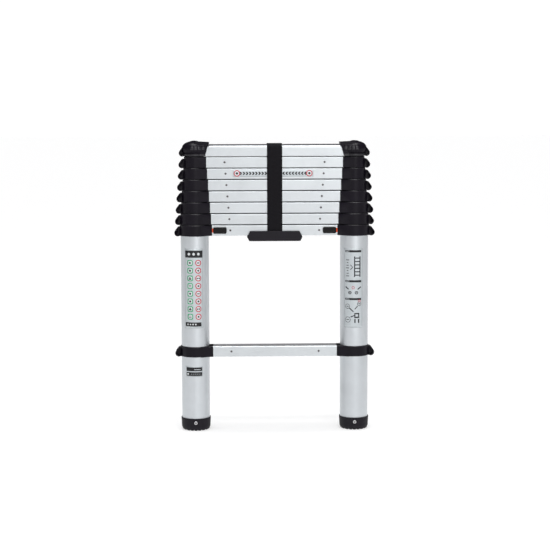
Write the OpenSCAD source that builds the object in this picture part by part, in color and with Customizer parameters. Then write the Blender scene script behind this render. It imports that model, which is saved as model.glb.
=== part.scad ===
/* [Ladder] */
// Distance between the centre lines of the two stiles
stile_spacing = 382; // [372:1:392]
// Height of the lowest tread above the floor
first_tread = 204; // [190:1:220]
// Distance between treads when the ladder is extended
rung_pitch = 291.5; // [280:0.5:300]
// Distance between treads when the ladder is collapsed
stack_pitch = 27; // [26.8:0.1:28.5]
// Length of each tube that stays in the tube below at full extension
tube_overlap = 95; // [85:1:105]

/* [Tubes] */
// Outer diameter of the bottom tubes
base_tube_d = 67; // [66:0.5:68]
// Reduction in diameter from one tube to the next
tube_step = 3.8; // [3.8:0.1:4]
// Wall thickness of every tube
tube_wall = 1.4; // [1.2:0.1:1.4]

/* [Rungs] */
// Front-to-back depth of a rung
rung_depth = 42; // [40:1:43]
// Gap between two rungs of the collapsed stack
rung_gap = 1.8; // [1.4:0.1:2.2]
// Wall thickness of a rung
rung_wall = 1.8; // [1.6:0.1:2]
// Extra height of the rounded top rung
top_rung_rise = 2.5; // [1:0.5:4]
// Pitch of the anti-slip grooves in a tread
groove_pitch = 3.6; // [3:0.1:4]

/* [Collars] */
// Thickness of a collar's band around its tube
collar_band = 2.4; // [2:0.1:3]
// Gap between two collars of the collapsed stack
collar_gap = 0.6; // [0.4:0.1:1]
// How far a collar's ear reaches out from its tube
ear_reach = 15; // [14:0.5:17]
// Front-to-back width of an ear
ear_width = 24; // [20:1:28]
// Length of the tongue that holds a rung
tongue_length = 50; // [48:1:56]

/* [Latch] */
// Diameter of a latch pin
pin_d = 8; // [7:0.5:8]
// Travel of a release slider towards the middle of the ladder
slider_travel = 6; // [4:0.5:6]
// Length of a release slider's cap
slider_length = 32; // [30:1:34]
// Height of a release slider's cap
slider_height = 15; // [13:1:16]

/* [Feet] */
// Outer diameter of a foot at its rim
foot_d = 71; // [71:0.5:74]
// Height of a foot
foot_height = 30; // [26:1:34]

/* [Carrying strap] */
// Width of the strap
strap_width = 36; // [30:1:40]
// Thickness of the strap
strap_thickness = 2; // [1.5:0.1:2]
// Length of the moulded grip under the stack
grip_length = 132; // [120:1:150]

/* [Hidden] */
$fn = 64;
sections = 8;
sides = [-1, 1];
function side_name(side) = side < 0 ? "left" : "right";

stile_x = stile_spacing / 2;
travel = rung_pitch - stack_pitch;
rung_height = stack_pitch - rung_gap;
rung_face = rung_depth / 2;
collar_height = stack_pitch - collar_gap;
collar_rise = 0.4;
fairing_drop = 1;
lip_height = 3.5;
lip_clearance = 0.4;
pin_clearance = 0.3;
foot_floor = 6;
rivet_z = 20;
rivet_hole_d = 4;

// Tubes are numbered from the bottom, and so are the rungs. Tube k carries rung k + 1 at its top.
function tube_r(k) = base_tube_d / 2 - (k - 1) * tube_step / 2;
function tread(n) =
    n == 1 ? first_tread
    : first_tread + rung_pitch + (n - 2) * stack_pitch + (n > sections ? top_rung_rise : 0);
function rung_bottom(n) = n > sections ? tread(n - 1) + rung_gap : tread(n) - rung_height;
function collar_bottom(n) = tread(n) + collar_rise - collar_height;
function tube_top(k) = k < sections ? tread(k + 1) + collar_rise - lip_height : tread(k + 1) - 8;
function tube_bottom(k) = k == 1 ? foot_floor : tube_top(k - 1) - travel - tube_overlap;
function pin_z(n) = tread(n) - rung_height / 2;
// Distance from a stile's axis to the face that the rung's end meets. It grows with the tube.
function block_reach(k) = block_growth * tube_r(k) + block_start;
block_growth = 1.13;
block_start = 3.6;
clamp_reach = block_reach(1) + 1;
clamp_trim = 1.5;
cap_socket_x = tube_r(sections) + 1.8;

// The pocket that the latch slides in, measured from the face that the rung's end meets.
pocket_start = 3;
pocket_end = 38;
pocket_width = 30;
pocket_height = 15;
carriage_start = 9;
carriage_length = 12;
neck_start = 11;
neck_length = 8;
neck_height = 6.4;
slot_play = 0.5;
cap_start = 2.8;
cap_back = 1;
cap_thickness = 3.2;
flag_thickness = 0.5;

// Everything at a stile is drawn with its axis at the origin and the ladder's middle towards +X.
module at_stile(side) {
    translate([side * stile_x, 0, 0])
        if (side < 0) children();
        else mirror([1, 0, 0]) children();
}

// Draws a profile of depth (across) and height (up) as a bar along +X.
module bar_x(length) {
    rotate([90, 0, 90]) linear_extrude(length) children();
}

// Draws an outline in X and Z as a solid centred on the ladder's middle plane.
module slab_y(width) {
    rotate([90, 0, 0]) linear_extrude(width, center = true) children();
}

module bore_x(r, from, to) {
    translate([from, 0, 0]) rotate([0, 90, 0]) cylinder(r = r, h = to - from);
}

// A rectangle that stands on its lower edge, with its own radius for top and bottom corners.
module soft_rect(width, height, top_r, bottom_r) {
    half = width / 2;
    translate([-half, bottom_r]) square([width, height - top_r - bottom_r]);
    translate([-half + top_r, height - top_r - 0.01]) square([width - 2 * top_r, top_r + 0.01]);
    translate([-half + bottom_r, 0]) square([width - 2 * bottom_r, bottom_r + 0.01]);
    for (x = [-1, 1]) {
        translate([x * (half - top_r), height - top_r]) circle(r = top_r);
        translate([x * (half - bottom_r), bottom_r]) circle(r = bottom_r);
    }
}

tread_corner = 3;
top_tread_corner = 9;
heel_corner = 1.2;

module rung_outline(height, corner) {
    soft_rect(rung_depth, height, corner, heel_corner);
}

module rung_cavity(height, corner, play = 0) {
    inset = rung_wall + play;
    translate([0, inset])
        soft_rect(rung_depth - 2 * inset, height - 2 * inset, corner - rung_wall, 0.8);
}

// ---- Tubes -------------------------------------------------------------------------------------

module tube(k, side) {
    length = tube_top(k) - tube_bottom(k);
    hole_r = pin_d / 2 + pin_clearance;
    color("silver") at_stile(side) difference() {
        translate([0, 0, tube_bottom(k)]) cylinder(r = tube_r(k), h = length, $fn = 96);
        translate([0, 0, tube_bottom(k) - 1])
            cylinder(r = tube_r(k) - tube_wall, h = length + 2, $fn = 96);
        if (k < sections) translate([0, 0, pin_z(k + 1)]) bore_x(hole_r, 0, tube_r(k) + 1);
        if (k > 1) translate([0, 0, pin_z(k) - travel]) bore_x(hole_r, 0, tube_r(k) + 1);
        if (k == 1) rivet_holes();
    }
}

// ---- Rungs -------------------------------------------------------------------------------------

groove_width = 1.4;
groove_depth = 0.6;

module tread_grooves(height, flat) {
    count = floor(flat / groove_pitch / 2);
    for (i = [-count:count])
        translate([i * groove_pitch - groove_width / 2, height - groove_depth])
            square([groove_width, groove_depth + 1]);
}

module rung(n) {
    top = n > sections;
    height = tread(n) - rung_bottom(n);
    corner = top ? top_tread_corner : tread_corner;
    half = stile_x - (n == 1 ? clamp_reach : top ? cap_socket_x : block_reach(n - 1));
    color("gainsboro") difference() {
        translate([-half, 0, rung_bottom(n)]) bar_x(2 * half) difference() {
            rung_outline(height, corner);
            rung_cavity(height, corner);
            tread_grooves(height, rung_depth - 2 * corner - 4);
        }
        if (n == 2) for (side = sides) at_stile(side) slider_slot();
    }
}

// ---- Collars -----------------------------------------------------------------------------------

module collar_ring(r, height) {
    outer = r + collar_band;
    rotate_extrude($fn = 96) {
        translate([r - 4, 0]) square([outer - 2 - r + 4, height]);
        translate([outer - 2.01, 1]) square([2.01, height - 3]);
        translate([outer - 2.01, 0]) square([1.01, 1.01]);
        translate([outer - 2, height - 2]) circle(r = 2);
        translate([outer - 1, 1]) circle(r = 1);
    }
}

// An ear's large lower lobe, and the small lobe above it that runs into the collar's band.
ear_r = 8.3;
ear_z = 7.3;
ear_shoulder_r = 5;
ear_shoulder_out = 4.3;
ear_shoulder_z = 16.2;
ear_rim = 2.4;
ear_web = 7;

// The outline of an ear, drawn smaller all round by inset.
module ear_outline(r, inset = 0) {
    low_r = ear_r - inset;
    high_r = ear_shoulder_r - inset;
    low = [-(r + ear_reach - ear_r), ear_z];
    high = [-(r + ear_shoulder_out), ear_shoulder_z];
    away = high - low;
    side = atan2(away[1], away[0]) + acos((low_r - high_r) / norm(away));
    out = [cos(side), sin(side)];
    root = -r + 0.5;
    translate(low) circle(r = low_r);
    translate(high) circle(r = high_r);
    polygon([low, low + low_r * out, high + high_r * out, high]);
    polygon([
        [root, inset],
        [low[0], inset],
        low,
        high,
        [high[0], high[1] + high_r],
        [root, high[1] + high_r]
    ]);
}

// The ear, hollowed from the front and from the back, with a web between.
module ear(r) {
    hollow = (ear_width - ear_web) / 2;
    difference() {
        slab_y(ear_width) ear_outline(r);
        for (face = [-1, 1])
            translate([0, face * (ear_width - hollow + 0.02) / 2, 0])
                slab_y(hollow + 0.02) ear_outline(r, ear_rim);
    }
}

// The fairing that carries a ring's round front and back over to the face that meets the rung.
module collar_fairing(r, reach, height) {
    corner = [reach, rung_face + 0.5];
    outer = r + collar_band;
    angle = atan2(corner[1], corner[0]) + acos(outer / norm(corner));
    touch = outer * [cos(angle), sin(angle)];
    linear_extrude(height) polygon([
        corner, touch, [touch[0], -touch[1]], [corner[0], -corner[1]]
    ]);
}

// The block and tongue that take a rung's end, with the rung's underside at z = 0.
module rung_holder(reach, height) {
    bar_x(reach) soft_rect(rung_depth + 1, height, tread_corner, heel_corner);
    translate([reach - 0.01, 0, 0]) bar_x(tongue_length)
        rung_cavity(height, tread_corner, 0.15);
}

module latch_pocket(reach) {
    translate([reach + pocket_start, -pocket_width / 2, -pocket_height / 2])
        cube([pocket_end - pocket_start, pocket_width, pocket_height]);
}

// The slot that a release slider's neck passes through, in the front of rung 2 and its tongues.
module slider_slot() {
    translate([
        block_reach(1) + neck_start - slot_play,
        -rung_face - 1,
        pin_z(2) - neck_height / 2 - slot_play
    ])
        cube([
            neck_length + slider_travel + 2 * slot_play,
            rung_face - pocket_width / 2 + 2,
            neck_height + 2 * slot_play
        ]);
}

module collar(n, side) {
    k = n - 1;
    seat_top = tube_top(k) - collar_bottom(n);
    color("#28262b") at_stile(side) difference() {
        union() {
            translate([0, 0, collar_bottom(n)]) {
                collar_ring(tube_r(k), collar_height);
                ear(tube_r(k));
            }
            translate([0, 0, rung_bottom(n)]) {
                rung_holder(block_reach(k), rung_height);
                collar_fairing(tube_r(k), block_reach(k), rung_height - fairing_drop);
            }
        }
        translate([0, 0, collar_bottom(n) - 1]) cylinder(r = tube_r(k), h = seat_top + 1, $fn = 96);
        translate([0, 0, collar_bottom(n)])
            cylinder(r = tube_r(k + 1) + lip_clearance, h = collar_height + 1, $fn = 96);
        translate([0, 0, pin_z(n)]) {
            bore_x(pin_d / 2 + pin_clearance, 0, block_reach(k) + pocket_start + 1);
            latch_pocket(block_reach(k));
        }
        if (n == 2) slider_slot();
    }
}

module clamp_collar(side) {
    color("#28262b") at_stile(side) difference() {
        union() {
            translate([0, 0, collar_bottom(1) + clamp_trim]) {
                collar_ring(tube_r(1), collar_height - clamp_trim);
                ear(tube_r(1));
            }
            translate([0, 0, rung_bottom(1)]) {
                rung_holder(clamp_reach, rung_height);
                collar_fairing(tube_r(1), clamp_reach, rung_height - fairing_drop);
            }
        }
        translate([0, 0, collar_bottom(1) - 1])
            cylinder(r = tube_r(1), h = collar_height + 2, $fn = 96);
    }
}

// ---- End caps ----------------------------------------------------------------------------------

// Radius of a cap's round part, with the height of each point above the top tread.
cap_round = [
    [0, 9], [5, 8.6], [9, 7.5], [12.5, 6.3], [17.4, 4.8], [22.2, 2.4], [25, 0.1], [27, -2.3],
    [28.3, -5], [29.2, -7.7], [29.7, -10.5], [29.4, -14.5], [28.7, -18.6], [27, -19.8]
];
// The end that faces the rung: distance from the stile's axis and height above the top tread.
cap_end = [
    [27.3, -23], [28.8, -18], [30.2, -13.4], [31, -9], [32.2, -5], [34.4, -1.3], [35.2, 1],
    [35.5, 5]
];
// Radius of a cap's foot ring and of the groove above it, with the height above the cap's foot.
cap_foot = [[0, 0], [26.6, 0], [27.8, 1.2], [27.8, 4.8], [27, 5.6], [26.3, 5.8], [26.3, 7.4]];
cap_end_foot = 27;
cap_flat_x = 13;
cap_flat_rise = 6.2;
cap_sleeve = 2.2;
// The groove above the foot ring, where it crosses a cap's flat front and back.
cap_groove_x = 11;
cap_groove_z = 5.8;
cap_groove_height = 1.6;
cap_groove_depth = 0.8;

module end_cap(side) {
    foot = rung_bottom(sections + 1);
    height = tread(sections + 1) - foot;
    color("#28262b") at_stile(side) translate([0, 0, foot]) difference() {
        union() {
            rotate_extrude($fn = 96) polygon(concat(
                cap_foot,
                [for (i = [len(cap_round) - 1:-1:0]) cap_round[i] + [0, height]]
            ));
            slab_y(rung_depth + 2 * cap_sleeve) polygon(concat(
                [[0, 0], [cap_end_foot, 0]],
                [for (p = cap_end) p + [0, height]],
                [[cap_flat_x, height + cap_flat_rise], [0, height + cap_flat_rise]]
            ));
            ear(tube_r(sections) + 1);
        }
        translate([0, 0, -1])
            cylinder(r = tube_r(sections), h = tube_top(sections) - foot + 1, $fn = 96);
        translate([cap_socket_x, 0, 0]) bar_x(rung_depth) rung_outline(height, top_tread_corner);
        for (y = [-1, 1] * (rung_face + cap_sleeve))
            translate([cap_groove_x, y - cap_groove_depth, cap_groove_z])
                cube([cap_end_foot, 2 * cap_groove_depth, cap_groove_height]);
    }
}

// ---- Feet --------------------------------------------------------------------------------------

module rivet_holes() {
    translate([0, 0, rivet_z]) rotate([90, 0, 0])
        cylinder(d = rivet_hole_d, h = foot_d + 2, center = true);
}

module foot(side) {
    rim = foot_d / 2;
    seat = base_tube_d / 2;
    tread_pitch = 9;
    color("#222224") at_stile(side) difference() {
        rotate_extrude($fn = 96) polygon([
            [0, 0], [rim - 6.5, 0], [rim - 3, 2.5], [rim - 1, 8],
            [rim, foot_height], [seat, foot_height], [seat, foot_floor], [0, foot_floor]
        ]);
        for (i = [-3:3]) translate([(i + 0.5) * tread_pitch - 1.25, -rim, -1]) cube([2.5, foot_d, 3]);
        for (y = [-1, 1]) translate([-rim, y * 14 - 1.25, -1]) cube([foot_d, 2.5, 3]);
        rivet_holes();
    }
}

// Blind rivets through the front and the back of each foot, with a hollow in the head.
module foot_rivets() {
    head_r = 4;
    head_rim = 0.5;
    head_height = 1.4;
    hollow_r = 1.9;
    hollow_floor = 0.4;
    shank_end = tube_r(1) - tube_wall - 0.8;
    seat = foot_d / 2 - 0.2;
    color("lightgray") for (side = sides) for (face = [0, 180])
        at_stile(side) translate([0, 0, rivet_z]) rotate([90, 0, face]) rotate_extrude() polygon([
            [0, shank_end], [rivet_hole_d / 2, shank_end], [rivet_hole_d / 2, seat], [head_r, seat],
            [head_r, seat + head_rim], [head_r - 1, seat + head_height],
            [hollow_r, seat + head_height], [hollow_r, seat + hollow_floor],
            [0, seat + hollow_floor]
        ]);
}

// ---- Latches -----------------------------------------------------------------------------------

module release_slider(side) {
    reach = block_reach(1);
    back = -rung_face - cap_back;
    color("#1d1c20") at_stile(side) translate([reach, 0, pin_z(2)]) difference() {
        union() {
            translate([cap_start + slider_length / 2, back, -slider_height / 2])
                rotate([90, 0, 0]) linear_extrude(cap_thickness)
                soft_rect(slider_length, slider_height, 3.5, 3.5);
            translate([neck_start, back - 0.5, -neck_height / 2])
                cube([neck_length, -back + 0.5 - pocket_width / 2 + 2, neck_height]);
            translate([carriage_start, -pocket_width / 2 + 1, -6.3])
                cube([carriage_length, pocket_width / 2 + 5, 12.6]);
        }
        bore_x(pin_d / 2, 0, carriage_start + carriage_length + 1);
        translate([cap_start + slider_length / 2, back - cap_thickness + 0.7, 0])
            thumb_panel();
    }
}

// The shallow panel in a slider's cap, with grip bars left standing in it.
module thumb_panel() {
    panel_length = 24;
    panel_height = 9;
    bars = 5;
    rotate([90, 0, 0]) linear_extrude(2) difference() {
        translate([0, -panel_height / 2]) soft_rect(panel_length, panel_height, 1.5, 1.5);
        for (i = [-2:bars - 3]) translate([i * 4 - 0.7, -3.2]) square([1.4, 6.4]);
    }
}

// A latch pin resting against the tube inside its collar.
module latch_pin(n, tail, stub = 0) {
    k = n - 1;
    end = block_reach(k) + tail;
    translate([0, 0, pin_z(n)]) {
        bore_x(pin_d / 2, tube_r(k + 1) + pin_clearance, end);
        if (stub > 0) bore_x(pin_d / 2 - 1, end - 1, end + stub);
        else bore_x(pin_d / 2 + 2, end - 4, end);
    }
}

module release_pin(side) {
    color("darkgray") at_stile(side) latch_pin(2, carriage_start + carriage_length, 3);
}

module latch_pin_pair(n) {
    color("darkgray") for (side = sides) at_stile(side) latch_pin(n, 14);
}

module release_springs() {
    wire_r = 0.6;
    start = block_reach(1) + carriage_start + carriage_length + wire_r + 0.1;
    end = block_reach(1) + pocket_end - wire_r - 0.1;
    color("gray") for (side = sides) at_stile(side) translate([start, 0, pin_z(2)])
        coil(4.4, wire_r, end - start, 7);
}

// A coil spring along +X.
module coil(r, wire_r, length, turns) {
    steps = 14;
    corners = 6;
    rings = turns * steps;
    points = [
        for (i = [0:rings]) for (j = [0:corners - 1])
            let (
                along = i / steps * 360,
                across = j / corners * 360,
                out = r + wire_r * cos(across)
            )
            [length * i / rings + wire_r * sin(across), out * cos(along), out * sin(along)]
    ];
    faces = concat(
        [[for (j = [0:corners - 1]) j]],
        [[for (j = [corners - 1:-1:0]) rings * corners + j]],
        [
            for (i = [0:rings - 1]) for (j = [0:corners - 1])
                let (next = (j + 1) % corners, a = i * corners, b = a + corners)
                [a + j, b + j, b + next, a + next]
        ]
    );
    polyhedron(points, faces, convexity = 10);
}

// Plates that show beside the sliders' caps while the ladder isn't locked.
module release_flags() {
    color("orangered") for (side = sides) at_stile(side)
        translate([block_reach(1) + 0.3, -rung_face - flag_thickness, pin_z(2) - 5])
        cube([neck_start - slot_play - 0.6, flag_thickness, 10]);
}

// ---- Carrying strap ----------------------------------------------------------------------------

strap_gap = 0.4;
strap_foot = rung_bottom(2) + 1.5;

module strap_arch(grow) {
    top = tread(sections + 1) + grow;
    soft_rect(rung_depth + 2 * grow, top - strap_foot, top_tread_corner + grow, 0.01);
}

// The strap lies over the top rung and hangs down the front and the back of the stack.
module carry_strap() {
    color("#1b181e") translate([-strap_width / 2, 0, strap_foot]) bar_x(strap_width) difference() {
        strap_arch(strap_gap + strap_thickness);
        strap_arch(strap_gap);
        translate([-rung_face - strap_gap, -1]) square([rung_depth + 2 * strap_gap, 20]);
    }
}

// The grip under rung 2: a channel whose lips have a pocket for each end of the strap.
module strap_grip() {
    lip = 11;
    depth_below = 13;
    wall = 3.2;
    pocket = strap_thickness + 2 * strap_gap;
    half = grip_length / 2;
    color("#2d2a30") translate([0, 0, rung_bottom(2)]) difference() {
        slab_y(rung_depth + 2 * (pocket + wall)) polygon([
            [-half, -depth_below / 4], [-half + 7, lip], [half - 7, lip],
            [half, -depth_below / 4], [half - 5, -depth_below], [-half + 5, -depth_below]
        ]);
        translate([-half - 1, -rung_face, 0]) cube([grip_length + 2, rung_depth, lip + 1]);
        translate([-strap_width / 2 - 1, -rung_face - pocket, 0])
            cube([strap_width + 2, rung_depth + 2 * pocket, lip + 1]);
    }
}

// ---- Assembly ----------------------------------------------------------------------------------

for (k = [1:sections]) for (s = sides)
    tube(k, s);
for (n = [1:sections + 1])
    rung(n);
for (s = sides)
    clamp_collar(s);
for (n = [2:sections]) for (s = sides)
    collar(n, s);
for (s = sides)
    end_cap(s);
for (s = sides)
    foot(s);
foot_rivets();
for (s = sides)
    release_slider(s);
for (s = sides)
    release_pin(s);
release_springs();
release_flags();
for (n = [3:sections])
    latch_pin_pair(n);
carry_strap();
strap_grip();
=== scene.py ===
import math

import bpy
from mathutils import Matrix, Vector


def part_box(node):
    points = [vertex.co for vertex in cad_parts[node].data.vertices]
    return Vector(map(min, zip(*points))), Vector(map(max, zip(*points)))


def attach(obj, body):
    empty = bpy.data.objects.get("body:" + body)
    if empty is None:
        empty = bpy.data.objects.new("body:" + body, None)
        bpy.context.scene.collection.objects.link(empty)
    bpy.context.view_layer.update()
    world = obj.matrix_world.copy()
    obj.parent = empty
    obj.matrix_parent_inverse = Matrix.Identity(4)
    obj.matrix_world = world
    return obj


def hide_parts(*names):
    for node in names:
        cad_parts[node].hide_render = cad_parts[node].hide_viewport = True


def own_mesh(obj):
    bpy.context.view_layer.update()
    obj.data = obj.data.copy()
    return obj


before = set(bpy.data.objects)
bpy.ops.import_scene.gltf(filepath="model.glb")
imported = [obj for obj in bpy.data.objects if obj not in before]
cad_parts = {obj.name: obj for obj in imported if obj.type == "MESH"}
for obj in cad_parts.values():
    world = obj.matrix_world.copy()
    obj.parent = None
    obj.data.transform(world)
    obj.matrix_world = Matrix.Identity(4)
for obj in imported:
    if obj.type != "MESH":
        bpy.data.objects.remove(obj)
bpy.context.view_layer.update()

MM = 0.001
SIDES = {"left": -1, "right": 1}
SECTIONS = 8
LAST_RUNG = SECTIONS + 1


def span(node, axis):
    """Lowest and highest coordinate of a CAD node along one axis, in metres."""
    low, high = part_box(node)
    return low[axis], high[axis]


RUNG_FRONT = span("rung_1", 1)[0]
TUBE_R = {k: (span(f"tube_{k}_left", 1)[1] - span(f"tube_{k}_left", 1)[0]) / 2
          for k in range(1, SECTIONS + 1)}
STILE_X = sum(span("tube_1_right", 0)) / 2

# ---- Camera ------------------------------------------------------------------------------------

CAMERA_PLACE = Vector((-0.1052, -3.8142, 0.7954))
CAMERA_YAW = -0.0278
CAMERA_PITCH = 0.1102
CAMERA_ROLL = 0.0025
FOCAL_LENGTH = 104.55
SENSOR = 36.0


def add_camera():
    data = bpy.data.cameras.new("camera")
    data.lens = FOCAL_LENGTH
    data.sensor_width = SENSOR
    data.clip_start = 0.1
    data.clip_end = 100.0
    camera = bpy.data.objects.new("camera", data)
    turn = (Matrix.Rotation(CAMERA_YAW, 3, "Z")
            @ Matrix.Rotation(math.pi / 2 - CAMERA_PITCH, 3, "X")
            @ Matrix.Rotation(-CAMERA_ROLL, 3, "Z"))
    camera.location = CAMERA_PLACE
    camera.rotation_euler = turn.to_euler()
    bpy.context.scene.collection.objects.link(camera)
    bpy.context.scene.camera = camera


add_camera()

# ---- Material building blocks --------------------------------------------------------------------


class Shader:
    """A small wrapper that adds and joins nodes of one material."""

    def __init__(self, name, color, metallic=0.0, roughness=0.5, specular=0.5):
        self.material = bpy.data.materials.new(name)
        self.material.use_nodes = True
        self.material.diffuse_color = (*color, 1.0)
        self.tree = self.material.node_tree
        self.body = self.tree.nodes["Principled BSDF"]
        self.body.inputs["Base Color"].default_value = (*color, 1.0)
        self.body.inputs["Metallic"].default_value = metallic
        self.body.inputs["Roughness"].default_value = roughness
        self.body.inputs["Specular IOR Level"].default_value = specular

    def node(self, kind, **inputs):
        made = self.tree.nodes.new(kind)
        for key, value in inputs.items():
            made.inputs[key.replace("_", " ")].default_value = value
        return made

    def join(self, source, output, target, slot):
        self.tree.links.new(source.outputs[output], target.inputs[slot])

    def coordinates(self, scale=(1, 1, 1), source="Object"):
        place = self.node("ShaderNodeTexCoord")
        mapping = self.node("ShaderNodeMapping")
        mapping.inputs["Scale"].default_value = scale
        self.join(place, source, mapping, "Vector")
        return mapping

    def noise(self, scale, detail, roughness, stretch=(1, 1, 1)):
        mapping = self.coordinates(stretch)
        noise = self.node("ShaderNodeTexNoise", Scale=scale, Detail=detail, Roughness=roughness)
        self.join(mapping, "Vector", noise, "Vector")
        return noise

    def ramp(self, source, output, stops):
        ramp = self.tree.nodes.new("ShaderNodeValToRGB")
        band = ramp.color_ramp
        while len(band.elements) < len(stops):
            band.elements.new(0.5)
        for element, (at, color) in zip(band.elements, stops):
            element.position = at
            element.color = (*color, 1.0)
        self.join(source, output, ramp, "Fac")
        return ramp

    def vary_color(self, source, output, stops):
        self.join(self.ramp(source, output, stops), "Color", self.body, "Base Color")

    def vary_roughness(self, source, output, low, high):
        spread = self.node("ShaderNodeMapRange")
        spread.inputs["To Min"].default_value = low
        spread.inputs["To Max"].default_value = high
        self.join(source, output, spread, "Value")
        self.join(spread, "Result", self.body, "Roughness")

    def bump(self, source, output, depth, strength, under=None):
        bump = self.node("ShaderNodeBump", Strength=strength, Distance=depth)
        self.join(source, output, bump, "Height")
        if under is not None:
            self.join(under, "Normal", bump, "Normal")
        self.join(bump, "Normal", self.body, "Normal")
        return bump


def shade(color, factor):
    return tuple(min(1.0, c * factor) for c in color)


def brushed_aluminium(name, color, along, roughness=0.42, metallic=0.9):
    """Satin anodised aluminium with fine extrusion lines along one axis."""
    s = Shader(name, color, metallic=metallic, roughness=roughness)
    stretch = tuple(0.02 if axis == along else 1.0 for axis in "XYZ")
    lines = s.noise(1400.0, detail=3.0, roughness=0.6, stretch=stretch)
    clouds = s.noise(14.0, detail=5.0, roughness=0.6)
    s.vary_color(clouds, "Fac", [(0.35, shade(color, 0.95)), (0.65, shade(color, 1.03))])
    s.vary_roughness(lines, "Fac", roughness - 0.06, roughness + 0.08)
    grain = s.bump(lines, "Fac", depth=0.00002, strength=0.35)
    s.bump(clouds, "Fac", depth=0.0004, strength=0.1, under=grain)
    return s.material


def moulded_plastic(name, color, roughness=0.45, grain=1600.0, depth=0.00006, specular=0.4):
    """Moulded plastic with a fine spark-eroded grain and faint scuffs."""
    s = Shader(name, color, roughness=roughness, specular=specular)
    fine = s.noise(grain, detail=2.0, roughness=0.5)
    clouds = s.noise(35.0, detail=4.0, roughness=0.6)
    s.vary_color(clouds, "Fac", [(0.3, shade(color, 0.8)), (0.7, shade(color, 1.3))])
    s.vary_roughness(clouds, "Fac", roughness - 0.07, roughness + 0.1)
    s.bump(fine, "Fac", depth, strength=0.5)
    return s.material


def printed(name, color, metallic=0.0, roughness=0.45):
    """Ink or film of a label, slightly worn."""
    s = Shader(name, color, metallic=metallic, roughness=roughness, specular=0.35)
    wear = s.noise(900.0, detail=4.0, roughness=0.65)
    s.vary_color(wear, "Fac", [(0.3, shade(color, 0.88)), (0.72, shade(color, 1.1))])
    s.vary_roughness(wear, "Fac", roughness - 0.05, roughness + 0.12)
    s.bump(wear, "Fac", depth=0.00002, strength=0.3)
    return s.material


YARN_ANGLE = 38.0


def woven(name, color):
    """Polyester webbing: two crossing sets of yarns, drawn in the strap's own U and V."""
    s = Shader(name, color, roughness=0.82, specular=0.15)
    s.body.inputs["Sheen Weight"].default_value = 0.05
    heights = []
    for turn in (YARN_ANGLE, -YARN_ANGLE):
        mapping = s.coordinates((1, 1, 1), "UV")
        mapping.inputs["Rotation"].default_value = (0, 0, math.radians(turn))
        wave = s.node("ShaderNodeTexWave", Scale=0.42, Distortion=0.4, Detail=1.0)
        s.join(mapping, "Vector", wave, "Vector")
        heights.append(wave)
    weave = s.tree.nodes.new("ShaderNodeMath")
    weave.operation = "MAXIMUM"
    s.tree.links.new(heights[0].outputs["Fac"], weave.inputs[0])
    s.tree.links.new(heights[1].outputs["Fac"], weave.inputs[1])
    s.vary_color(weave, "Value", [(0.3, shade(color, 0.6)), (0.9, shade(color, 1.35))])
    s.bump(weave, "Value", depth=0.0003, strength=0.9)
    return s.material


TUBE = brushed_aluminium("tube_aluminium", (0.622, 0.651, 0.675), "Z", roughness=0.42)
RUNG = brushed_aluminium("rung_aluminium", (0.608, 0.636, 0.654), "X", roughness=0.4)
# Treads: a duller metal whose darker colour is painted shade of the tread grooves and of the gaps between
# stacked rungs; the top rung's much darker, wider band is painted shade too.
TREAD_SHADE = brushed_aluminium("tread_aluminium_painted_shade", (0.29, 0.288, 0.298), "X", roughness=0.62, metallic=0.45)
TOP_TREAD_SHADE = brushed_aluminium("top_tread_painted_shade", (0.085, 0.082, 0.09), "X", roughness=0.62,
                              metallic=0.3)
COLLAR = moulded_plastic("collar_plastic", (0.0046, 0.0031, 0.0068), roughness=0.36, specular=0.165)
# Painted highlight: a lighter, shinier copy of the collar plastic, laid on upward-facing edges and ridges
# where light from above falls.
HIGHLIGHT_PLASTIC = moulded_plastic("collar_painted_highlight", (0.0125, 0.0112, 0.015), roughness=0.33, specular=0.45)
FOOT = moulded_plastic("foot_rubber", (0.006, 0.0044, 0.0084), roughness=0.55, grain=600.0,
                       depth=0.0002, specular=0.25)
SLIDER = moulded_plastic("slider_plastic", (0.0028, 0.0026, 0.0032), roughness=0.34, specular=0.2)
FLAG = moulded_plastic("flag_red", (0.9, 0.075, 0.004))
GRIP = moulded_plastic("grip_plastic", (0.0056, 0.0041, 0.0078), specular=0.22)
# Near-black rubber of the wiper rings, made darker still as painted shade in the gaps between collars.
SEAL_AND_GAP_SHADE = moulded_plastic("seal_rubber_and_gap_shade", (0.002, 0.002, 0.0024), roughness=0.75, grain=900.0,
                       depth=0.0001, specular=0.1)
WEBBING = woven("webbing", (0.0052, 0.0044, 0.0062))
STEEL = brushed_aluminium("steel", (0.6, 0.6, 0.61), "Y", roughness=0.34)
# Dark rivet steel: the rung rivets' own colour, and painted shade in the hollows of the foot rivets.
DARK_STEEL_AND_HOLLOW_SHADE = brushed_aluminium("rivet_steel_and_hollow_shade", (0.13, 0.12, 0.122), "Y", roughness=0.4)
FILM = printed("label_film", (0.56, 0.6, 0.62), metallic=0.55, roughness=0.5)
INK_BLACK = printed("label_black", (0.014, 0.014, 0.016))
INK_GREEN = printed("label_green", (0.05, 0.36, 0.17))
INK_RED = printed("label_red", (0.55, 0.025, 0.055))
INK_PALE = printed("label_pale", (0.7, 0.73, 0.74), metallic=0.2)


def cad_material(node):
    if node.startswith("tube_"):
        return TUBE
    if node.startswith("rung_"):
        return RUNG
    if node.startswith(("collar_", "clamp_collar_", "end_cap_")):
        return COLLAR
    if node in ("foot_left", "foot_right"):
        return FOOT
    if node.startswith("release_slider_"):
        return SLIDER
    return {"release_flags": FLAG, "carry_strap": WEBBING, "strap_grip": GRIP}.get(node, STEEL)


# ---- CAD nodes: materials and softened edges --------------------------------------------------------

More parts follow.
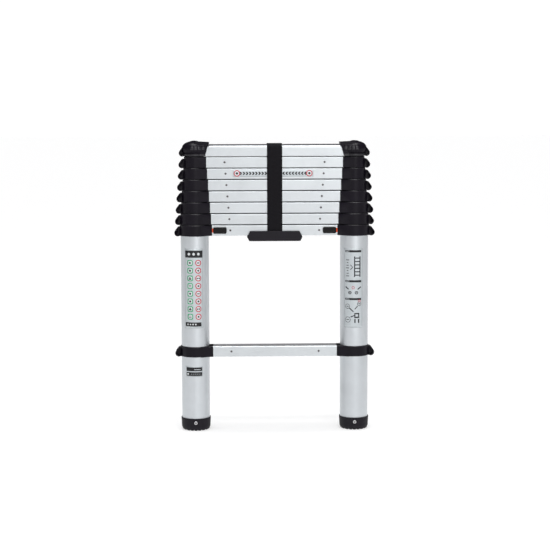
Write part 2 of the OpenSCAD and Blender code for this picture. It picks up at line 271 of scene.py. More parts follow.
WELD_REACH = 0.01 * MM
SEAM_REACH = 0.003 * MM
BEVEL_SEGMENTS = 2
BEVEL_ANGLE = math.radians(32.0)
EDGE_WIDTHS = {"rung": 0.3 * MM, "collar": 0.5 * MM, "clamp": 0.5 * MM, "end": 0.6 * MM,
               "foot": 0.5 * MM, "strap": 1.2 * MM}
# Depth and half width of the bands that get the painted tread shade.
TREAD_DEPTH, TREAD_HALF_WIDTH = 0.75 * MM, 17.5 * MM
TOP_TREAD_DEPTH, TOP_TREAD_HALF_WIDTH = 3.4 * MM, 20 * MM
RIVET_HOLLOW_R = 1.92 * MM
# Range of upward slope of the faces that get the painted highlight.
HIGHLIGHT_SLOPES = (0.2, 0.97)
CAP_RING_R = 28 * MM
CAP_RING_FOOT = 0.4 * MM
CAP_RING_TOP = 5.9 * MM
FAIRING_AREA = 90 * MM * MM
SQUARE_ON = 0.9995
NEARLY_UPRIGHT = 0.05


def soften(part, width):
    """Rounds a CAD node's sharp edges with modifiers, and shades it smooth."""
    part.modifiers.new("weld", "WELD").merge_threshold = WELD_REACH
    if width > 0:
        bevel = part.modifiers.new("bevel", "BEVEL")
        bevel.width = width
        bevel.segments = BEVEL_SEGMENTS
        bevel.limit_method = "ANGLE"
        bevel.angle_limit = BEVEL_ANGLE
        bevel.use_clamp_overlap = True
        bevel.miter_outer = "MITER_ARC"
        part.modifiers.new("seams", "WELD").merge_threshold = SEAM_REACH
    normals = part.modifiers.new("normals", "WEIGHTED_NORMAL")
    normals.keep_sharp = False
    part.data.shade_smooth()


def tread_shade_faces(part, material, top, depth, half_width):
    """Gives a rung's ribbed walking surface a duller metal, whose darker colour is painted shade of the
    grooves and of the gap between stacked rungs.
    """
    part.data.materials.append(material)
    for face in part.data.polygons:
        if face.center.z > top - depth and abs(face.center.y) < half_width:
            face.material_index = 1


def rivet_hollow_shade(part):
    """Paints shade into the hollow in the middle of each foot rivet's head, with the dark rivet steel."""
    part.data.materials.append(DARK_STEEL_AND_HOLLOW_SHADE)
    low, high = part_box(part.name)
    middle_z = (low[2] + high[2]) / 2
    for face in part.data.polygons:
        off = math.hypot(abs(face.center.x) - STILE_X, face.center.z - middle_z)
        if off < RIVET_HOLLOW_R and abs(face.center.y) > TUBE_R[1]:
            face.material_index = 1


def highlight_faces(part):
    """Gives the rounded and sloping upper edges of a collar the lighter, shinier plastic: a painted
    highlight where light from above falls on them.
    """
    part.data.materials.append(HIGHLIGHT_PLASTIC)
    for face in part.data.polygons:
        if HIGHLIGHT_SLOPES[0] < face.normal.z < HIGHLIGHT_SLOPES[1]:
            face.material_index = 1


def foot_ring_highlight(part):
    """Gives the ring round the foot of an end cap the lighter, shinier plastic: a painted highlight on
    the ring.
    """
    part.data.materials.append(HIGHLIGHT_PLASTIC)
    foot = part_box(part.name)[0][2]
    for face in part.data.polygons:
        height = face.center.z - foot
        on_ear = abs(face.center.x) > STILE_X + CAP_RING_R
        if CAP_RING_FOOT < height < CAP_RING_TOP and not on_ear:
            face.material_index = 1


def flatten_sides(part):
    """Keeps the plane faces of a collar flat, beside its smooth round band."""
    for face in part.data.polygons:
        straight = max(abs(face.normal.x), abs(face.normal.y), abs(face.normal.z)) > SQUARE_ON
        if straight or (abs(face.normal.z) < NEARLY_UPRIGHT and face.area > FAIRING_AREA):
            face.use_smooth = False


for name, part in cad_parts.items():
    part.data.materials.clear()
    part.data.materials.append(cad_material(name))
    if name.startswith(("collar_", "clamp_collar_")):
        highlight_faces(part)
    if name.startswith("end_cap_"):
        foot_ring_highlight(part)
    if name == "foot_rivets":
        rivet_hollow_shade(part)
    # The treads' darker colour is painted shade.
    if name.startswith("rung_"):
        if name == f"rung_{LAST_RUNG}":
            tread_shade_faces(part, TOP_TREAD_SHADE, span(name, 2)[1], TOP_TREAD_DEPTH, TOP_TREAD_HALF_WIDTH)
        else:
            tread_shade_faces(part, TREAD_SHADE, span(name, 2)[1], TREAD_DEPTH, TREAD_HALF_WIDTH)
    if name not in ("release_springs", "release_flags", "carry_strap"):
        soften(part, EDGE_WIDTHS.get(name.split("_")[0], 0.0))
    if name.startswith(("collar_", "clamp_collar_")):
        flatten_sides(part)

# ---- Building blocks for added pieces ------------------------------------------------------------


def add_piece(name, verts, faces, body, slot, *materials, indexes=None):
    mesh = bpy.data.meshes.new(name)
    mesh.from_pydata([tuple(v) for v in verts], [], faces)
    for material in materials:
        mesh.materials.append(material)
    if indexes:
        mesh.polygons.foreach_set("material_index", indexes)
    mesh.update()
    mesh.shade_smooth()
    piece = bpy.data.objects.new(name, mesh)
    bpy.context.scene.collection.objects.link(piece)
    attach(piece, body)
    return piece


def quads(lines, points, closed=False, looped=False):
    """Faces between neighbouring lines of points.

    closed joins the ends of each line, and looped joins the last line to the first.
    """
    steps = lines if looped else lines - 1
    sides = points if closed else points - 1
    return [[i * points + j, (i + 1) % lines * points + j,
             (i + 1) % lines * points + (j + 1) % points, i * points + (j + 1) % points]
            for i in range(steps) for j in range(sides)]


class Build:
    """Vertices and faces of one piece that is made of several parts."""

    def __init__(self):
        self.verts = []
        self.faces = []
        self.indexes = []

    def add(self, verts, faces, index=0):
        first = len(self.verts)
        self.verts += [tuple(v) for v in verts]
        self.faces += [[first + i for i in face] for face in faces]
        self.indexes += [index] * len(faces)

    def lathe(self, profile, place, steps):
        """Turns a closed profile of (radius, along) points about an axis.

        place(radius, angle, along) gives the point.
        """
        verts = []
        for i in range(steps):
            angle = 2 * math.pi * i / steps
            verts += [place(r, angle, along) for r, along in profile]
        self.add(verts, quads(steps, len(profile), closed=True, looped=True))


def around_z(x):
    """Places a lathe profile about an upright axis at x."""
    return lambda r, angle, along: (x + r * math.cos(angle), r * math.sin(angle), along)


def facing(x, z, face_y, way):
    """Places a lathe profile on a vertical face: way is -1 on the front and 1 on the back."""
    return lambda r, angle, along: (x + r * math.cos(angle), face_y + way * along,
                                    z - way * r * math.sin(angle))


# ---- Seals between the collars ---------------------------------------------------------------------

WIPER_SINK = 0.4 * MM
WIPER_RISE = 0.5 * MM
TOP_WIPER_RISE = 1.2 * MM
WIPER_CHAMFER = 0.4 * MM
WIPER_BORE_GAP = 0.35 * MM
WIPER_RIM = 1.2 * MM
WIPER_STEPS = 96


def add_seals():
    """Rubber wiper rings on the collars of rungs 2 to 8, which close the gaps of the stack."""
    for n in range(2, LAST_RUNG):
        rise = WIPER_RISE if n < SECTIONS else TOP_WIPER_RISE
        inner = TUBE_R[n] + WIPER_BORE_GAP
        outer = TUBE_R[n - 1] + WIPER_RIM
        build = Build()
        for side, sign in SIDES.items():
            top = span(f"collar_{n}_{side}", 2)[1]
            build.lathe([(inner, top - WIPER_SINK), (outer, top - WIPER_SINK),
                         (outer, top + rise * 0.7), (outer - WIPER_CHAMFER, top + rise),
                         (inner, top + rise)],
                        around_z(sign * STILE_X), WIPER_STEPS)
        # The rings' extra darkness is painted shade in the gaps.
        add_piece(f"wiper_rings_{n}", build.verts, build.faces, f"section_{n - 1}",
                  "foot_rubber", SEAL_AND_GAP_SHADE)


# ---- Rivets of the rungs -------------------------------------------------------------------------

RIVET_INSET = 43.7 * MM
RIVET_STEPS = 24
# Radius and height above the rung's face, in millimetres, from the buried middle to the hollow.
RIVET_HEAD = [(0.0, -0.2), (2.5, -0.2), (2.5, 0.25), (2.0, 0.75), (1.25, 0.9), (1.0, 0.35),
              (0.0, 0.35)]


def add_rung_rivets():
    """Blind rivets that hold each rung on its collars' tongues, front and back."""
    profile = [(r * MM, along * MM) for r, along in RIVET_HEAD]
    for n in range(1, LAST_RUNG):
        low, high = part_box(f"rung_{n}")
        build = Build()
        for x in (low[0] + RIVET_INSET, high[0] - RIVET_INSET):
            for way, face_y in ((-1, low[1]), (1, high[1])):
                build.lathe(profile, facing(x, (low[2] + high[2]) / 2, face_y, way), RIVET_STEPS)
        add_piece(f"rung_rivets_{n}", build.verts, build.faces, f"section_{max(1, n - 1)}",
                  "steel", DARK_STEEL_AND_HOLLOW_SHADE)


# ---- Springs of the latches ------------------------------------------------------------------------

SPRING_R = 4.4 * MM
SPRING_WIRE = 0.6 * MM
SPRING_TURNS = 7
RELEASE_SPRING = 15.6 * MM
LATCH_TAIL = 14.0 * MM
LATCH_POCKET = 38.0 * MM


def coil(build, x, length, z, sign):
    """Adds a coil spring that starts at distance x from the middle and runs inwards."""
    steps, corners = 20, 8
    rings = SPRING_TURNS * steps
    verts = []
    for i in range(rings + 1):
        turn = 2 * math.pi * i / steps
        for j in range(corners):
            around = 2 * math.pi * j / corners
            r = SPRING_R + SPRING_WIRE * math.cos(around)
            along = x - length * i / rings + SPRING_WIRE * math.sin(around)
            verts.append((sign * along, r * math.cos(turn), z + r * math.sin(turn)))
    faces = quads(rings + 1, corners, closed=True)
    faces.append(list(range(corners)))
    faces.append([rings * corners + j for j in range(corners - 1, -1, -1)])
    if sign < 0:
        faces = [face[::-1] for face in faces]
    build.add(verts, faces)


def add_release_springs():
    """The coil behind each release slider, at full length and with a mesh of its own; nothing here
    shortens it as the slider moves inwards.
    """
    low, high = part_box("release_springs")
    middle_z = (low[2] + high[2]) / 2
    moving_end = high[0] - SPRING_WIRE
    for side, sign in SIDES.items():
        build = Build()
        coil(build, moving_end, RELEASE_SPRING, middle_z, sign)
        spring = add_piece(f"release_spring_{side}", build.verts, build.faces, "section_1",
                           "steel", STEEL)
        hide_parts("release_springs")
        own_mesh(spring)


def add_latch_springs():
    """The coils behind the latch pins of rungs 3 to 8."""
    for n in range(3, LAST_RUNG):
        low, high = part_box(f"rung_{n}")
        start = high[0] - LATCH_TAIL - 2 * SPRING_WIRE
        end = high[0] - LATCH_POCKET + 2 * SPRING_WIRE
        build = Build()
        for sign in SIDES.values():
            coil(build, start, start - end, (low[2] + high[2]) / 2, sign)
        add_piece(f"latch_springs_{n}", build.verts, build.faces, f"section_{n - 1}",
                  "steel", STEEL)


# ---- Guide bushes of the inner tubes ---------------------------------------------------------------

TUBE_WALL = 1.4 * MM
BUSH_HEIGHT = 19.0 * MM
BUSH_FLANGE = 2.0 * MM
BUSH_WALL = 3.0 * MM
BUSH_CHAMFER = 1.0 * MM
BUSH_PLAY = 0.15 * MM
BUSH_RIM = 0.25 * MM
BUSH_SEAT_GAP = 0.1 * MM
BUSH_STEPS = 64


def add_guide_bushes():
    """A plastic plug in the foot of each inner tube, whose flange guides it in the tube outside it."""
    for k in range(2, SECTIONS + 1):
        foot = span(f"tube_{k}_left", 2)[0]
        plug = TUBE_R[k] - TUBE_WALL - BUSH_PLAY
        flange = TUBE_R[k] + BUSH_RIM
        inner = plug - BUSH_WALL
        profile = [(inner, foot - BUSH_FLANGE), (flange, foot - BUSH_FLANGE),
                   (flange, foot - BUSH_SEAT_GAP), (plug, foot - BUSH_SEAT_GAP),
                   (plug, foot + BUSH_HEIGHT - BUSH_CHAMFER),
                   (plug - BUSH_CHAMFER, foot + BUSH_HEIGHT), (inner, foot + BUSH_HEIGHT)]
        build = Build()
        for sign in SIDES.values():
            build.lathe(profile, around_z(sign * STILE_X), BUSH_STEPS)
        add_piece(f"guide_bushes_{k}", build.verts, build.faces, f"section_{k}",
                  "collar_plastic", SLIDER)


# ---- Carrying strap ------------------------------------------------------------------------------

STRAP_THICK = 1.9 * MM
STRAP_GAP = 0.45 * MM
STRAP_TOP_GAP = 0.1 * MM
STRAP_TURN = 9.6 * MM
STRAP_SWAY = 0.25 * MM
# Radians of sway along one run.
SWAY_PHASE = 9
# Where the rounded edges begin, as a share of the half width.
STRAP_FLAT = 0.955
RUN_STEPS, TURN_STEPS, TOP_STEPS = 48, 12, 8
STRAP_SLICES = 12


def strap_path(foot, head):
    """Points up the front run and over to the back, each with the outward direction there."""
    inner_y = RUNG_FRONT - STRAP_GAP
    top = head - STRAP_TOP_GAP - STRAP_THICK
    drop = top - STRAP_TURN - foot
    path = []
    for i in range(RUN_STEPS + 1):
        z = foot + drop * i / RUN_STEPS
        sway = STRAP_SWAY * math.sin(SWAY_PHASE * (z - foot) / drop)
        path.append((Vector((0, inner_y - abs(sway), z)), Vector((0, -1, 0))))
    for i in range(1, TURN_STEPS + 1):
        a = math.radians(90 * i / TURN_STEPS)
        out = Vector((0, -math.cos(a), math.sin(a)))
        path.append((Vector((0, inner_y + STRAP_TURN, top - STRAP_TURN)) + STRAP_TURN * out, out))
    flat = -2 * (inner_y + STRAP_TURN)
    for i in range(1, TOP_STEPS + 1):
        y = inner_y + STRAP_TURN + flat * i / (2 * TOP_STEPS)
        path.append((Vector((0, y, top)), Vector((0, 0, 1))))
    back = [(Vector((0, -p.y, p.z)), Vector((0, -o.y, o.z))) for p, o in reversed(path[:-1])]
    return path + back


def strap_outline():
    """The strap's cross section, as shares of its half width and of its thickness."""
    slices = [-STRAP_FLAT + 2 * STRAP_FLAT * i / STRAP_SLICES for i in range(1, STRAP_SLICES)]
    outline = [(-1, 0.3), (-1, 0.7), (-0.985, 0.9), (-STRAP_FLAT, 1.0)]
    outline += [(x, 1.0) for x in slices]
    outline += [(STRAP_FLAT, 1.0), (0.985, 0.9), (1, 0.7), (1, 0.3), (0.985, 0.1), (STRAP_FLAT, 0.0)]
    outline += [(-x, 0.0) for x in slices]
    return outline + [(-STRAP_FLAT, 0.0), (-0.985, 0.1)]


def add_strap():
    """Webbing over the top rung, as one band of even thickness with rounded edges."""
    low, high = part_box("carry_strap")
    half = (high[0] - low[0]) / 2
    path = strap_path(low[2], high[2])
    outline = strap_outline()
    verts = []
    lengths = [0.0]
    for i, (point, out) in enumerate(path):
        if i:
            lengths.append(lengths[-1] + (point - path[i - 1][0]).length)
        for across, depth in outline:
            verts.append(point + out * STRAP_THICK * depth + Vector((across * half, 0, 0)))
    count = len(outline)
    faces = [[a, d, c, b] for a, b, c, d in quads(len(path), count, closed=True)]
    faces.append(list(range(count - 1, -1, -1)))
    faces.append([(len(path) - 1) * count + j for j in range(count)])
    strap = add_piece("strap_webbing", verts, faces, f"section_{SECTIONS}", "webbing", WEBBING)
    uv = strap.data.uv_layers.new(name="strap")
    for loop in strap.data.loops:
        i, j = divmod(loop.vertex_index, count)
        uv.data[loop.index].uv = (outline[j][0] * half / MM, lengths[i] / MM)
    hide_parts("carry_strap")


# ---- Flutes of the end caps ------------------------------------------------------------------------

# Height from the top of the top rung and radius of a cap's round body there, in millimetres, as the
# panel's own sizes are.
CAP_OUTLINE = [(0.1, 25.0), (-2.3, 27.0), (-5.0, 28.3), (-7.7, 29.2), (-10.5, 29.7), (-14.5, 29.4),
               (-18.6, 28.7)]
CAP_BLOCK = 23.2
CAP_BLEND = 1.5
PANEL_X = (-9.0, 26.0)
PANEL_Z = (-15.5, -2.0)
PANEL_COLUMNS, PANEL_ROWS = 84, 22
PANEL_SINK = 0.5
RIM_STEEPNESS = 12
FLUTES = 4
FLUTE_RELIEF = 1.1
RIDGE = 0.45
# Share of the panel's height in which the ridges get the painted highlight.
HIGHLIGHT_BAND = (0.22, 0.76)
PANEL_THICK = 1.2 * MM


def cap_radius(z):
    """Radius of a cap's round body at a height that its outline covers."""
    pairs = zip(CAP_OUTLINE, CAP_OUTLINE[1:])
    (z1, r1), (z2, r2) = next(pair for pair in pairs if z >= pair[1][0])
    return r1 + (r2 - r1) * (z1 - z) / (z1 - z2)


def cap_surface(x, z):
    """Distance of a cap's face from its middle plane, where the round body runs into the block."""
    r = cap_radius(z)
    round_part = math.sqrt(max(0.0, r * r - x * x))
    block = CAP_BLOCK if x > 0 else 0.0
    blend = max(0.0, CAP_BLEND - abs(round_part - block)) ** 2 / (4 * CAP_BLEND)
    return max(round_part, block) + blend


def panel_point(u, v):
    """Place of a point of the fluted panel: u runs across it and v up it, from 0 to 1."""
    x = PANEL_X[0] + (PANEL_X[1] - PANEL_X[0]) * u
    z = PANEL_Z[0] + (PANEL_Z[1] - PANEL_Z[0]) * v
    rise = (math.sin(math.pi * v) ** 0.5) * abs(math.sin(math.pi * FLUTES * u)) ** 0.8
    edge = min(1.0, RIM_STEEPNESS * min(u, 1 - u, v, 1 - v))
    return x, cap_surface(x, z) - PANEL_SINK + PANEL_SINK * edge + FLUTE_RELIEF * rise, z


def panel_highlight():
    """Material index of each face of the panel: 1 on the middle of a ridge, which gets the painted
    highlight.
    """
    ridges = [abs(math.sin(math.pi * FLUTES * (i + 0.5) / PANEL_COLUMNS)) > RIDGE
              for i in range(PANEL_COLUMNS)]
    middle = [HIGHLIGHT_BAND[0] < (j + 0.5) / PANEL_ROWS < HIGHLIGHT_BAND[1] for j in range(PANEL_ROWS)]
    return [int(on_ridge and in_middle) for on_ridge in ridges for in_middle in middle]


def add_cap_flutes():
    """A fluted grip panel on the front and back of each end cap."""
    top = span(f"rung_{LAST_RUNG}", 2)[1]
    points = [panel_point(i / PANEL_COLUMNS, j / PANEL_ROWS)
              for i in range(PANEL_COLUMNS + 1) for j in range(PANEL_ROWS + 1)]
    for side, sign in SIDES.items():
        build = Build()
        for way in (-1, 1):
            faces = quads(PANEL_COLUMNS + 1, PANEL_ROWS + 1)
            if sign * way > 0:
                faces = [face[::-1] for face in faces]
            build.add([(sign * (STILE_X - x * MM), way * out * MM, top + z * MM)
                       for x, out, z in points], faces)
        # The middles of the ridges get the painted highlight plastic.
        panels = add_piece(f"cap_flutes_{side}", build.verts, build.faces, f"section_{SECTIONS}",
                           "collar_plastic", COLLAR, HIGHLIGHT_PLASTIC, indexes=2 * panel_highlight())
        thick = panels.modifiers.new("thickness", "SOLIDIFY")
        thick.thickness = PANEL_THICK
        thick.offset = -1


# ---- Labels --------------------------------------------------------------------------------------

BARE, BLACK, GREEN, RED, PALE = range(5)
LABEL_MATERIALS = (FILM, INK_BLACK, INK_GREEN, INK_RED, INK_PALE)
FILM_THICK = 0.07 * MM
FILM_LIFT = 0.1
LAYER_LIFT = 0.05
LONGEST_CUT_ACROSS = 2.5
LONGEST_CUT_UP = 6.0
LONGEST_CUT_IN_RING = 2.2
RING_STEPS = 28
DISC_CENTRE_R = 0.02


class Decal:
    """Printed shapes as thin films. u runs to the right and v up, in millimetres."""

    def __init__(self, place):
        self.place = place
        self.build = Build()

    def patch(self, corners, layer, index):
        """A four-sided film between corners given anticlockwise, cut finely to follow a tube."""
        a, b, c, d = [Vector(p) for p in corners]
        across = max(1, math.ceil(max((b - a).length, (c - d).length) / LONGEST_CUT_ACROSS))
        up = max(1, math.ceil(max((d - a).length, (c - b).length) / LONGEST_CUT_UP))
        verts = []
        for i in range(across + 1):
            for j in range(up + 1):
                s, t = i / across, j / up
                p = (a * (1 - s) + b * s) * (1 - t) + (d * (1 - s) + c * s) * t
                verts.append(self.place(p.x, p.y, layer))
        self.build.add(verts, quads(across + 1, up + 1), index)

    def box(self, u, v, width, height, layer, index):
        self.patch([(u - width / 2, v - height / 2), (u + width / 2, v - height / 2),
                    (u + width / 2, v + height / 2), (u - width / 2, v + height / 2)],
                   layer, index)

    def bar(self, start, end, width, layer, index):
        """A straight stroke from start to end."""
        start, end = Vector(start), Vector(end)
        along = (end - start).normalized() * width / 2
        across = Vector((-along.y, along.x))
        self.patch([start - across, end - across, end + across, start + across], layer, index)

    def ring(self, u, v, outer, inner, layer, index, squareness=2.0):
        """A ring, or a disc when inner is 0. A squareness above 2 gives a rounded square."""
        cuts = max(1, math.ceil((outer - inner) / LONGEST_CUT_IN_RING))
        verts = []
        for j in range(cuts + 1):
            r = max(inner + (outer - inner) * j / cuts, DISC_CENTRE_R)
            for i in range(RING_STEPS):
                a = 2 * math.pi * i / RING_STEPS
                cosine, sine = math.cos(a), math.sin(a)
                reach = (abs(cosine) ** squareness + abs(sine) ** squareness) ** (-1 / squareness)
                verts.append(self.place(u + r * reach * cosine, v + r * reach * sine, layer))
        self.build.add(verts, quads(cuts + 1, RING_STEPS, closed=True), index)

    def finish(self, name, body):
        piece = add_piece(name, self.build.verts, self.build.faces, body, None, *LABEL_MATERIALS,
                          indexes=self.build.indexes)
        film = piece.modifiers.new("film", "SOLIDIFY")
        film.thickness = FILM_THICK
        film.offset = -1


def on_tube(sign, middle_z):
    """Label coordinates on the front of a bottom tube."""
    radius = TUBE_R[1]

    def place(u, v, layer):
        r = radius + (FILM_LIFT + LAYER_LIFT * layer) * MM
        angle = u * MM / radius
        return (sign * STILE_X + r * math.sin(angle), -r * math.cos(angle), middle_z + v * MM)

    return place


def on_rung(middle_z):
    """Label coordinates on the front of a rung."""
    return lambda u, v, layer: (u * MM, RUNG_FRONT - (FILM_LIFT + LAYER_LIFT * layer) * MM,
                                middle_z + v * MM)


# Sizes of the printed shapes and their places on a label are in millimetres.
TALL_LABEL = (47, 191)
GUIDE_LABEL_Z = 0.345
STEPS_LABEL_Z = 0.3443
PLATE_LABEL_Z = 0.1447
TILE_ROWS = 8
TOP_TILE = 61.6
TILE_PITCH = 18.44
TILE_MARKS = 4
DIAGRAM_BARS = (88.3, 16.4, -26.4)


def draw_tile_mark(label, u, v, kind):
    """A disc, a square, two stacked blocks or two level bars."""
    if kind == 0:
        label.ring(u, v, 2.4, 0, 3, BLACK)
    elif kind == 1:
        label.box(u, v, 4.6, 4.6, 3, BLACK)
    elif kind == 2:
        label.box(u, v - 1.6, 6.4, 3.2, 3, BLACK)
        label.box(u, v + 1.8, 2.8, 3.0, 3, BLACK)
    else:
        for lift in (1.8, -1.8):
            label.bar((u - 3.4, v + lift), (u + 3.4, v + lift), 1.3, 3, BLACK)


def draw_ring_mark(label, u, v, kind):
    """A level bar, a dot, two dots or an upright block."""
    if kind == 0:
        label.bar((u - 3, v), (u + 3, v), 2.2, 2, BLACK)
    elif kind == 1:
        label.ring(u, v, 2.3, 0, 2, BLACK)
    elif kind == 2:
        for way in (-1, 1):
            label.ring(u + 2.2 * way, v, 1.7, 0, 2, BLACK)
    else:
        label.box(u, v, 3.6, 4.2, 2, BLACK)


def add_guide_label():
    """Left tube: a column of green tiles and one of red rings, between two dark bars."""
    label = Decal(on_tube(-1, GUIDE_LABEL_Z))
    middle = -3.0
    head, foot = 82.6, -86
    label.box(middle, 0, *TALL_LABEL, 0, BARE)
    label.box(middle + 0.5, head, 44, 17, 1, BLACK)
    for i in range(3):
        label.ring(middle - 11 + 11.5 * i, head, 3.2, 0, 2, PALE)
    left, right = middle - 8.6, middle + 11.4
    for row in range(TILE_ROWS):
        v = TOP_TILE - TILE_PITCH * row
        label.ring(left, v, 6.9, 0, 1, GREEN, squareness=5.0)
        label.ring(left, v, 4.8, 0, 2, PALE, squareness=4.0)
        label.ring(right, v, 7.3, 5.3, 1, RED)
        label.ring(right, v, 5.2, 0, 1, PALE)
        draw_tile_mark(label, left, v, row % TILE_MARKS)
        draw_ring_mark(label, right, v, row % TILE_MARKS)
    label.box(middle - 1.5, foot, 40, 10, 1, BLACK)
    for i in range(4):
        label.box(middle - 15 + 6.5 * i, foot, 3.2, 3.2, 2, PALE)
    label.finish("label_guide", "section_1")


def add_plate_label():
    """Left tube below the lowest rung: two dark bars with plain marks."""
    label = Decal(on_tube(-1, PLATE_LABEL_Z))
    middle = -3.5
    upper, lower = 5.8, -5.8
    label.box(middle, 0, 42, 25, 0, BARE)
    for v in (upper, lower):
        label.box(middle, v, 39.5, 9.2, 1, BLACK)
    label.box(middle + 8, 5.0, 16, 1.3, 2, BARE)
    label.ring(middle - 15.5, lower, 2.4, 0, 2, PALE)
    for i in range(5):
        label.box(middle - 6 + 5 * i, lower, 3.0, 0.9, 2, BARE)
    label.finish("label_plate", "section_1")


def draw_ladder(label, middle):
    """First diagram: a tall ladder beside a stack of short bars, with a chevron between them."""
    left, right = middle + 3.5, middle + 16.5
    for u in (left, right):
        label.bar((u, 27), (u, 76), 2.6, 1, BLACK)
    for i in range(6):
        label.bar((left, 31 + 8.2 * i), (right, 31 + 8.2 * i), 2.4, 1, BLACK)
    for i in range(7):
        label.box(middle - 14, 29 + 6.4 * i, 8 - i % 3 * 2, 1.6, 1, BLACK)
    for v in (44, 56):
        label.bar((middle - 7, v), (middle - 1, 50), 1.6, 1, BLACK)


def draw_dots(label, middle):
    """Second diagram: a small ring between two slanting bars, above two ringed dots."""
    for way in (-1, 1):
        label.bar((middle + 19 * way, 3), (middle + 11 * way, -3), 2.6, 1, BLACK)
        label.ring(middle + 8 * way, -11, 4.0, 2.4, 1, BLACK)
        label.ring(middle + 8 * way, -11, 1.3, 0, 1, BLACK)
    label.ring(middle, 1, 3.4, 2.4, 1, RED)


def draw_block(label, middle):
    """Third diagram: rings with a level bar in them, slanting bars, and a hollow block above two bars."""
    for u, v, r in ((-14, -44, 6.0), (15, -38, 5.0), (-13, -76, 7.0)):
        label.ring(middle + u, v, r, r - 1.0, 1, BLACK)
        label.box(middle + u, v, r, 1.6, 1, BLACK)
    label.ring(middle + 15, -31, 3.0, 2.0, 2, RED)
    label.bar((middle - 9, -48), (middle + 1, -57), 2.4, 1, BLACK)
    label.bar((middle + 11, -43), (middle + 4, -51), 2.0, 1, BLACK)
    label.box(middle + 9, -66, 12, 12, 1, BLACK)
    label.box(middle + 9, -66, 7, 6, 2, BARE)
    for u in (4.5, 13.5):
        label.bar((middle + u, -74), (middle + u, -84), 3.0, 1, BLACK)
    label.bar((middle - 6, -70), (middle + 3, -66), 2.2, 1, BLACK)


def add_steps_label():
    """Right tube: three plain diagrams, each under a dark bar."""
    label = Decal(on_tube(1, STEPS_LABEL_Z))
    middle = -4.5
    label.box(middle, 0, *TALL_LABEL, 0, BARE)
    for v in DIAGRAM_BARS:
        label.box(middle + 5, v, 30, 5.2, 1, BLACK)
        label.box(middle - 15.5, v, 9, 4.6, 1, BLACK)
        label.box(middle - 15.5, v, 5.5, 1.6, 2, BARE)
    draw_ladder(label, middle)
    draw_dots(label, middle)
    draw_block(label, middle)
    label.finish("label_steps", "section_1")


RUNG_LABEL_RISE = 0.5 * MM
RUNG_LABEL_MIDDLE = -3.5
RUNG_LABEL_SIZE = (191, 16.5)
RING_PLACE = 86
CHEVRONS = 10
FIRST_CHEVRON = 12.4
CHEVRON_PITCH = 7.4
CHEVRON_REACH = 3.6
CHEVRON_THICK = 3.8
CHEVRON_LEAN = 2.8
CHEVRON_PARTING = 0.03


def add_rung_label():
    """Rung 7: a pale band with chevrons that point to the middle from a ring at each end."""
    low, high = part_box("rung_7")
    label = Decal(on_rung((low[2] + high[2]) / 2 + RUNG_LABEL_RISE))
    label.box(RUNG_LABEL_MIDDLE, 0, *RUNG_LABEL_SIZE, 0, BARE)
    for way in (-1, 1):
        end = RUNG_LABEL_MIDDLE + way * RING_PLACE
        label.ring(end, 0, 7.6, 5.6, 1, RED)
        label.ring(end, 0, 5.5, 0, 1, PALE)
        label.ring(end, 0, 2.8, 0, 2, BLACK)
        for i in range(CHEVRONS):
            tip = end - way * (FIRST_CHEVRON + CHEVRON_PITCH * i)
            heel = tip + way * CHEVRON_THICK
            for v in (-1, 1):
                corners = [(heel + way * CHEVRON_LEAN, v * CHEVRON_REACH),
                           (tip + way * CHEVRON_LEAN, v * CHEVRON_REACH),
                           (tip, v * CHEVRON_PARTING), (heel, v * CHEVRON_PARTING)]
                if way * v > 0:
                    corners = corners[::-1]
                label.patch(corners, 1, BLACK)
    label.finish("label_arrows", "section_6")


add_seals()
add_rung_rivets()
add_release_springs()
add_latch_springs()
add_guide_bushes()
add_strap()
add_cap_flutes()
add_guide_label()
add_plate_label()
add_steps_label()
add_rung_label()

# ---- Stage -------------------------------------------------------------------------------------

WHITE_OUT = 1.05
STUDIO_BANDS = ((0.0, 0.38), (0.5, 0.16), (0.8, 0.05))
STUDIO_BLUE = 1.03
FLOOR_SIZE = 60.0
FLOOR_GLOW = 0.53
SUN_POWER = 2.45
SUN_SPREAD = math.radians(35)


def add_area(name, place, target, size, power):
    data = bpy.data.lights.new(name, "AREA")
    data.shape = "RECTANGLE"
    data.size, data.size_y = size
    data.energy = power
    lamp = bpy.data.objects.new(name, data)
    lamp.location = place
    lamp.rotation_euler = (Vector(target) - Vector(place)).to_track_quat("-Z", "Y").to_euler()
    bpy.context.scene.collection.objects.link(lamp)


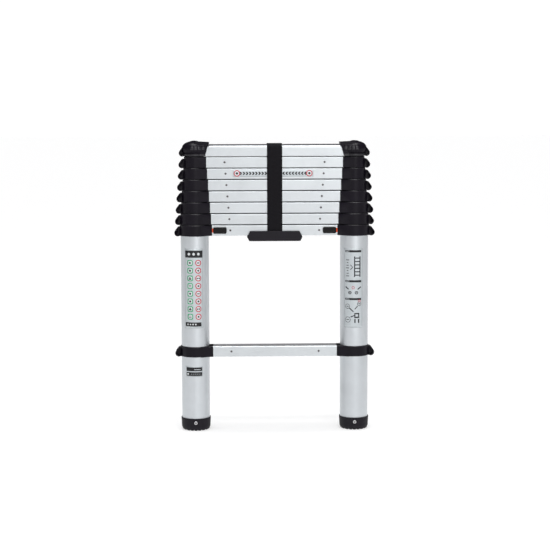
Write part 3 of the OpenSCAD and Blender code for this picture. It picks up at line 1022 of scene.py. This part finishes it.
def add_world():
    """White where the camera looks past the floor, and a soft grey studio for everything else."""
    world = bpy.data.worlds.new("studio")
    world.use_nodes = True
    tree = world.node_tree
    seen = tree.nodes["Background"]
    seen.inputs["Color"].default_value = (1.0, 1.0, 1.0, 1.0)
    seen.inputs["Strength"].default_value = WHITE_OUT
    lit = tree.nodes.new("ShaderNodeBackground")
    place = tree.nodes.new("ShaderNodeTexCoord")
    split = tree.nodes.new("ShaderNodeSeparateXYZ")
    ramp = tree.nodes.new("ShaderNodeValToRGB")
    spread = tree.nodes.new("ShaderNodeMapRange")
    spread.inputs["From Min"].default_value = -1.0
    tree.links.new(place.outputs["Generated"], split.inputs["Vector"])
    tree.links.new(split.outputs["Y"], spread.inputs["Value"])
    tree.links.new(spread.outputs["Result"], ramp.inputs["Fac"])
    tree.links.new(ramp.outputs["Color"], lit.inputs["Color"])
    band = ramp.color_ramp
    band.elements.new(0.5)
    for element, (at, value) in zip(band.elements, STUDIO_BANDS):
        element.position = at
        element.color = (value, value, value * STUDIO_BLUE, 1.0)
    mix = tree.nodes.new("ShaderNodeMixShader")
    path = tree.nodes.new("ShaderNodeLightPath")
    tree.links.new(path.outputs["Is Camera Ray"], mix.inputs["Fac"])
    tree.links.new(lit.outputs["Background"], mix.inputs[1])
    tree.links.new(seen.outputs["Background"], mix.inputs[2])
    tree.links.new(mix.outputs["Shader"], tree.nodes["World Output"].inputs["Surface"])
    bpy.context.scene.world = world


def add_stage():
    bpy.ops.mesh.primitive_plane_add(size=FLOOR_SIZE, location=(0, 0, 0))
    floor = bpy.context.object
    floor.name = "floor"
    s = Shader("floor", (0.5, 0.5, 0.5), roughness=0.9, specular=0.1)
    s.body.inputs["Emission Color"].default_value = (1.0, 1.0, 1.0, 1.0)
    s.body.inputs["Emission Strength"].default_value = FLOOR_GLOW
    floor.data.materials.append(s.material)
    add_world()
    sky = bpy.data.lights.new("overhead", "SUN")
    sky.energy = SUN_POWER
    sky.angle = SUN_SPREAD
    lamp = bpy.data.objects.new("overhead", sky)
    lamp.location = (0, 0, 4)
    bpy.context.scene.collection.objects.link(lamp)
    add_area("key", (0.9, -3.6, 1.6), target=(0, 0, 0.4), size=(1.2, 1.6), power=30)
    add_area("front_top", (0.0, -1.7, 2.6), target=(0, 0, 0.45), size=(2.4, 0.5), power=20)
    bpy.context.scene.view_settings.view_transform = "Standard"


add_stage()
